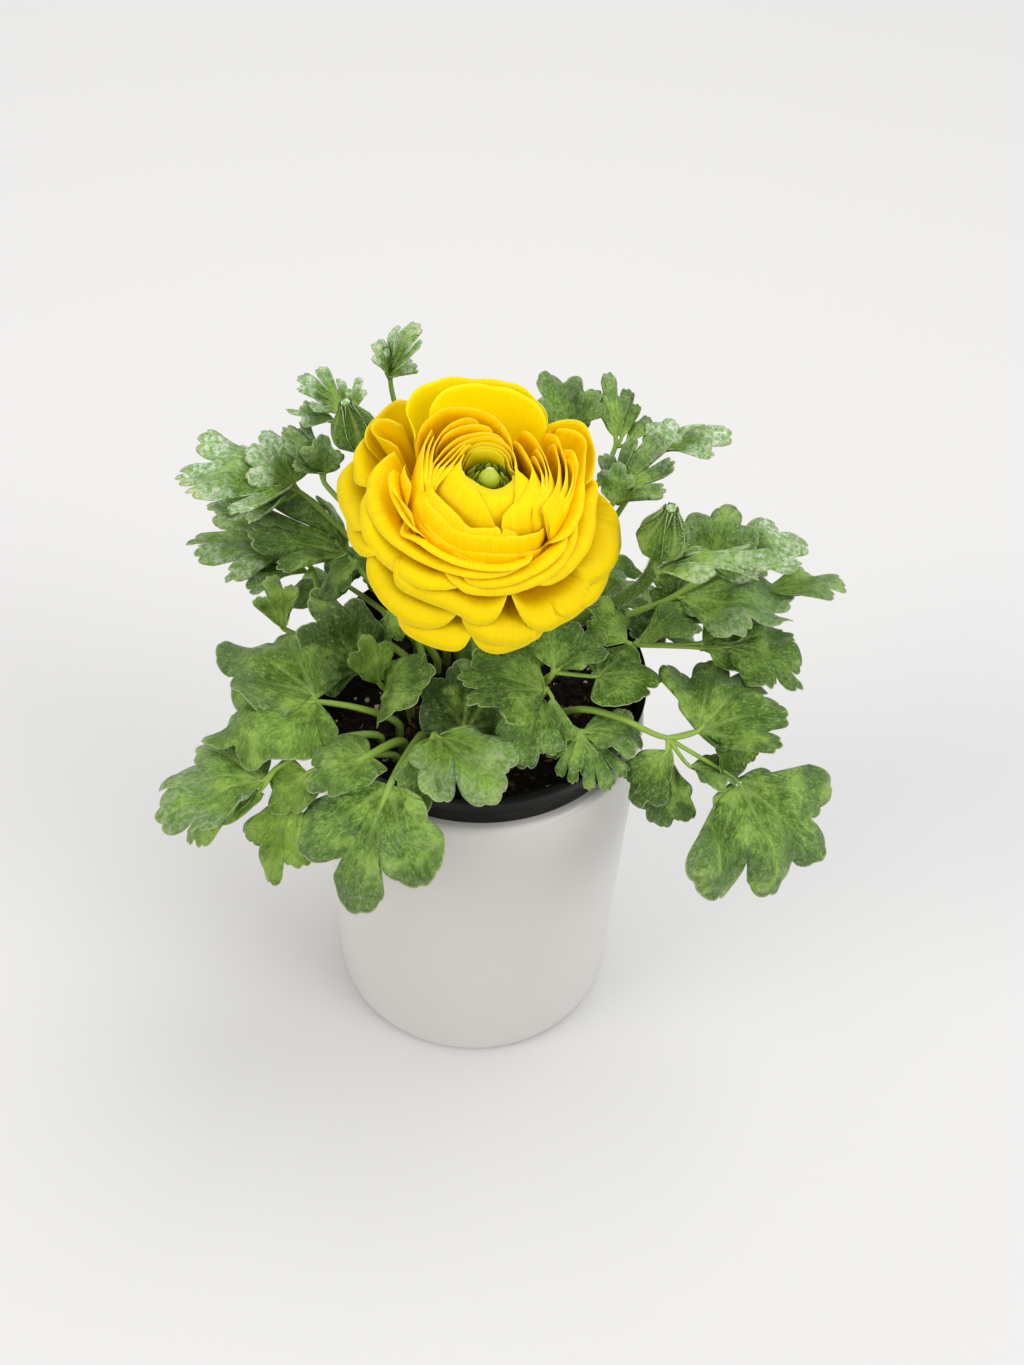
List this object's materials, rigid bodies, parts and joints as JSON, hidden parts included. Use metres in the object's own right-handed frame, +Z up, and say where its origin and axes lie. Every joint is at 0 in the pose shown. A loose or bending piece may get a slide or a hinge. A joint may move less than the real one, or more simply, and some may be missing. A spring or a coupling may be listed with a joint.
{
  "type": "potted ranunculus",
  "caption": "Potted ranunculus with a many-petalled yellow bloom, ribbed buds and lobed leaves, in a black nursery pot seated by its collar in a tapered white cover pot.",
  "frame": {"origin": "centre of the cover pot's underside, on the floor plane", "axes": "+Z up along the pots' axis, -Y towards the front, where the bloom leans and the front leaves hang over the collar, +X to the right seen from the front"},
  "size_m": [0.2308, 0.1838, 0.266],
  "materials": {
    "ceramic": "satin white glaze",
    "plastic": "smooth black, slightly glossy",
    "soil": "loose dark potting mix with bark bits and white perlite",
    "petal": "soft satin petal, thin at the rim",
    "centre": "matte olive-green carpels with a pale knob",
    "leaf": "satin leaf with sunken veins",
    "stem": "matte green, finely hairy"
  },
  "bodies": {
    "root": {"cover_pot": "ceramic", "nursery_pot": "plastic", "soil": "soil", "bloom_petals": "petal", "bloom_centre": "centre", "bloom_stem": "stem", "bud_left": "stem", "bud_right": "stem", "leaf_front_left": "leaf", "leaf_left_cupped": "leaf", "leaf_left_young": "leaf", "leaf_left_broad": "leaf", "leaf_far_left": "leaf", "leaf_left_upright": "leaf", "leaf_left_sprout": "leaf", "leaf_inner_left": "leaf", "leaf_inner_young": "leaf", "leaf_low_left": "leaf", "leaf_middle_left": "leaf", "leaf_lower_left": "leaf", "leaf_upper_left": "leaf", "leaf_high_left": "leaf", "leaf_behind_bud": "leaf", "leaf_top": "leaf", "leaf_top_right": "leaf", "leaf_feathered": "leaf", "leaf_high_right": "leaf", "leaf_folded": "leaf", "leaf_right_back": "leaf", "leaf_right_middle": "leaf", "leaf_right_low": "leaf", "leaf_front_right": "leaf", "leaf_centre_left": "leaf", "leaf_centre_right": "leaf", "leaf_front": "leaf", "leaf_inner_dark": "leaf", "leaf_back_1": "leaf", "leaf_back_2": "leaf", "leaf_back_3": "leaf", "leaf_back_4": "leaf", "leaf_back_5": "leaf", "leaf_back_6": "leaf", "leaf_back_7": "leaf", "leaf_back_8": "leaf", "leaf_back_9": "leaf"}
  },
  "joints": []
}
